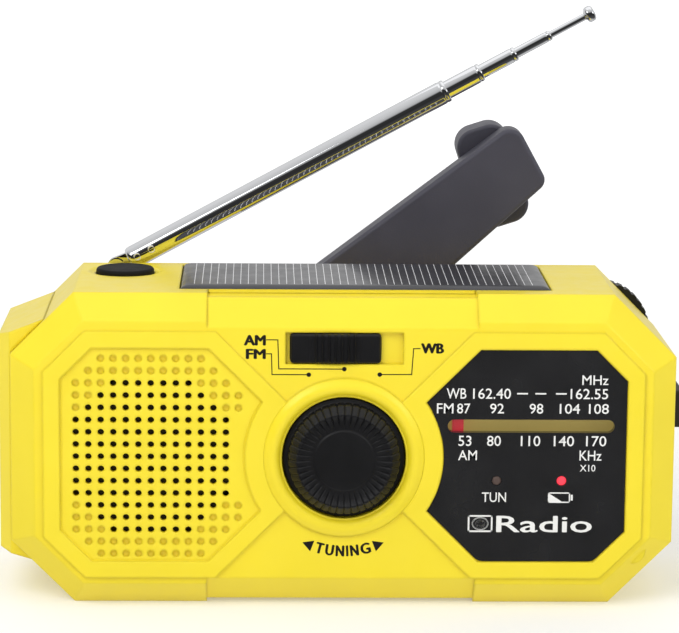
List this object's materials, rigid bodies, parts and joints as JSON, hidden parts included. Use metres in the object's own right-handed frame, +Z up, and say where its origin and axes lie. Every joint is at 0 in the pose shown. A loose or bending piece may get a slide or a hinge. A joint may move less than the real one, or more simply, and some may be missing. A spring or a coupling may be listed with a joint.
{
  "type": "emergency radio",
  "caption": "Portable crank and solar emergency radio: corner-cut case, speaker grille, dial window, tuning knob, telescopic antenna, end lamp and a folding rear crank.",
  "frame": {"origin": "middle of the casing's flat underside", "axes": "+Z up, +X to the right seen from the front, +Y from the front face towards the back"},
  "size_m": [0.167, 0.0847, 0.1423],
  "materials": {
    "yellow_shell": "satin bright yellow moulded plastic",
    "black_plastic": "gloss black plastic",
    "black_matte": "matte black plastic",
    "charcoal": "matte charcoal plastic",
    "white_plastic": "off-white moulded plastic",
    "chrome_metal": "bright chrome plating",
    "steel_parts": "plain steel",
    "brass_parts": "satin brass",
    "circuit_board": "green solder mask",
    "clear_window": "clear plastic",
    "red_clear": "glossy red plastic",
    "dull_clear": "glossy tinted plastic",
    "solar_dark": "dark glossy cover with thin pale cell lines",
    "rubber_black": "matte black rubber",
    "cloth_black": "woven black cloth",
    "paper_cone": "matte black pulp",
    "cell_wrap": "blue shrink wrap",
    "copper_wire": "enamelled copper wire",
    "ferrite": "dull dark grey ferrite"
  },
  "bodies": {
    "casing": {"front_shell": "yellow_shell", "rear_cover": "yellow_shell", "lamp_housing": "yellow_shell", "speaker_grille": "yellow_shell", "grille_cloth": "cloth_black", "dial_window": "black_plastic", "dial_backing": "brass_parts", "tuning_lamp": "dull_clear", "charge_lamp": "red_clear", "speaker_frame": "steel_parts", "speaker_cone": "paper_cone", "speaker_magnet": "steel_parts", "main_board": "circuit_board", "tuning_capacitor": "white_plastic", "ferrite_rod": "ferrite", "ferrite_coil": "copper_wire", "battery_cell": "cell_wrap", "battery_contacts": "steel_parts", "solar_cover": "solar_dark", "solar_cell": "solar_dark", "lamp_reflector": "chrome_metal", "lamp_lens": "clear_window", "lamp_board": "circuit_board", "button_switch": "black_matte", "headphone_jack": "black_matte", "usb_socket": "steel_parts", "charge_socket": "steel_parts", "volume_pot": "steel_parts", "band_switch": "steel_parts", "generator": "steel_parts", "gear_plate": "black_matte", "gear_axle": "steel_parts", "casing_screws": "steel_parts"},
    "battery_door_body": {"battery_door": "yellow_shell"},
    "port_cover_body": {"port_cover": "rubber_black"},
    "volume_wheel_body": {"volume_wheel": "black_matte"},
    "band_slider_body": {"band_slider": "black_matte"},
    "tuning_body": {"tuning_knob": "black_matte", "tuning_gear": "white_plastic"},
    "pointer_body": {"dial_pointer": "red_clear"},
    "button_body": {"lamp_button": "black_matte"},
    "crank_body": {"crank_hub": "charcoal", "crank_gear": "white_plastic", "crank_hinge_pin": "steel_parts"},
    "arm_body": {"crank_arm": "charcoal", "grip_pin": "steel_parts"},
    "grip_body": {"crank_grip": "charcoal"},
    "middle_gear_body": {"middle_gear": "white_plastic"},
    "rotor_body": {"generator_pinion": "brass_parts"},
    "antenna_base_body": {"antenna_base": "chrome_metal", "antenna_pin": "chrome_metal"},
    "antenna_1_body": {"antenna_tube_1": "chrome_metal"},
    "antenna_2_body": {"antenna_tube_2": "chrome_metal"},
    "antenna_3_body": {"antenna_tube_3": "chrome_metal"},
    "antenna_4_body": {"antenna_tube_4": "chrome_metal"},
    "antenna_rod_body": {"antenna_rod": "chrome_metal"}
  },
  "joints": [
    {"name": "crank_spin", "type": "hinge", "parent": "casing", "child": "crank_body", "pos_m": [-0.018, 0.02, 0.0486], "axis": [0, 1, 0], "continuous": true},
    {"name": "crank_fold", "type": "hinge", "parent": "crank_body", "child": "arm_body", "pos_m": [-0.00993, 0.031, 0.05532], "axis": [-0.6401, 0, 0.7683], "range_deg": [0, 150]},
    {"name": "grip_spin", "type": "hinge", "parent": "arm_body", "child": "grip_body", "pos_m": [0.04001, 0.045, 0.09693], "axis": [0, 1, 0], "continuous": true},
    {"name": "middle_gear_spin", "type": "hinge", "parent": "casing", "child": "middle_gear_body", "pos_m": [-0.03115, 0.01, 0.03545], "axis": [0, 1, 0], "continuous": true},
    {"name": "rotor_spin", "type": "hinge", "parent": "casing", "child": "rotor_body", "pos_m": [-0.04722, 0.006, 0.0296], "axis": [0, 1, 0], "continuous": true},
    {"name": "tuning_turn", "type": "hinge", "parent": "casing", "child": "tuning_body", "pos_m": [0, -0.025, 0.0375], "axis": [0, 1, 0], "range_deg": [0, 179]},
    {"name": "pointer_slide", "type": "slide", "parent": "casing", "child": "pointer_body", "axis": [1, 0, 0], "range_m": [0, 0.0351]},
    {"name": "volume_turn", "type": "hinge", "parent": "casing", "child": "volume_wheel_body", "pos_m": [0.0666, 0.026, 0.0593], "axis": [0, 1, 0], "range_deg": [0, 300]},
    {"name": "band_slide", "type": "slide", "parent": "casing", "child": "band_slider_body", "axis": [1, 0, 0], "range_m": [0, 0.0042]},
    {"name": "button_press", "type": "slide", "parent": "casing", "child": "button_body", "axis": [0, 0, -1], "range_m": [0, 0.0011], "stiffness_N_per_m": 400},
    {"name": "port_cover_swing", "type": "hinge", "parent": "casing", "child": "port_cover_body", "pos_m": [0.0806, 0.014, 0.0473], "axis": [0, 0, 1], "range_deg": [0, 90]},
    {"name": "battery_door_lift", "type": "slide", "parent": "casing", "child": "battery_door_body", "axis": [0, 1, 0], "range_m": [0, 0.014]},
    {"name": "antenna_swivel", "type": "hinge", "parent": "casing", "child": "antenna_base_body", "pos_m": [-0.057, 0.0277, 0.075], "axis": [0, 0, 1], "range_deg": [0, 180]},
    {"name": "antenna_tilt", "type": "hinge", "parent": "antenna_base_body", "child": "antenna_1_body", "pos_m": [-0.057, 0.0277, 0.075], "axis": [0, -1, 0], "range_deg": [-28.6, 61.4]},
    {"name": "antenna_slide_2", "type": "slide", "parent": "antenna_1_body", "child": "antenna_2_body", "axis": [0.878, 0, 0.4787], "range_m": [-0.0095, 0.062]},
    {"name": "antenna_slide_3", "type": "slide", "parent": "antenna_2_body", "child": "antenna_3_body", "axis": [0.878, 0, 0.4787], "range_m": [-0.0095, 0.06]},
    {"name": "antenna_slide_4", "type": "slide", "parent": "antenna_3_body", "child": "antenna_4_body", "axis": [0.878, 0, 0.4787], "range_m": [-0.0095, 0.057]},
    {"name": "antenna_slide_rod", "type": "slide", "parent": "antenna_4_body", "child": "antenna_rod_body", "axis": [0.878, 0, 0.4787], "range_m": [-0.0095, 0.054]}
  ],
  "couplings": [
    {"joint": "middle_gear_spin", "follows": "crank_spin", "ratio": -3.4286},
    {"joint": "rotor_spin", "follows": "crank_spin", "ratio": 12.857},
    {"joint": "pointer_slide", "follows": "tuning_turn", "m_per_rad": 0.0112}
  ]
}
